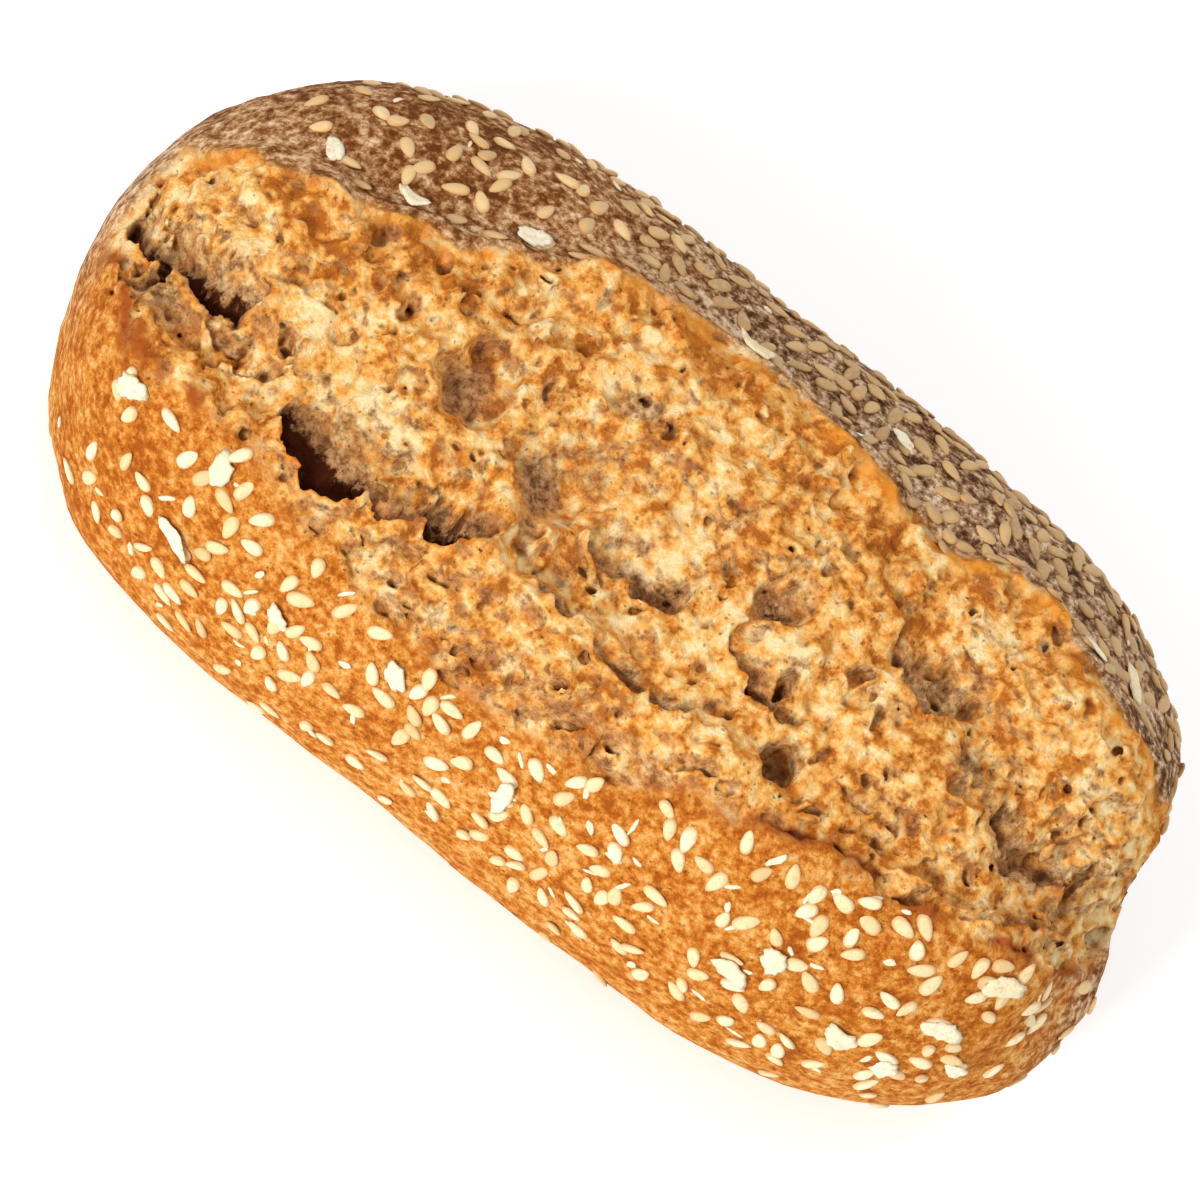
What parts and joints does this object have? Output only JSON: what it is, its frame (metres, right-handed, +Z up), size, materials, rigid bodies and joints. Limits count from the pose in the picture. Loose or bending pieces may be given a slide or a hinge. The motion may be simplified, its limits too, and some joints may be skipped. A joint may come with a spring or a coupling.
{
  "type": "wholegrain sourdough loaf",
  "caption": "Small oblong wholegrain sourdough loaf with a wide torn top, sesame seeds and oat flakes on the crust.",
  "frame": {"origin": "centre of the bounding box in plan, on the flat base the loaf rests on", "axes": "+X along the loaf, -Y towards the front with the wide seeded crust, +Z up from the base"},
  "size_m": [0.1794, 0.0942, 0.0647],
  "materials": {
    "crust": "matte baked crust, toasted orange brown, with cream seeds"
  },
  "bodies": {
    "root": {"loaf": "crust"}
  },
  "joints": []
}
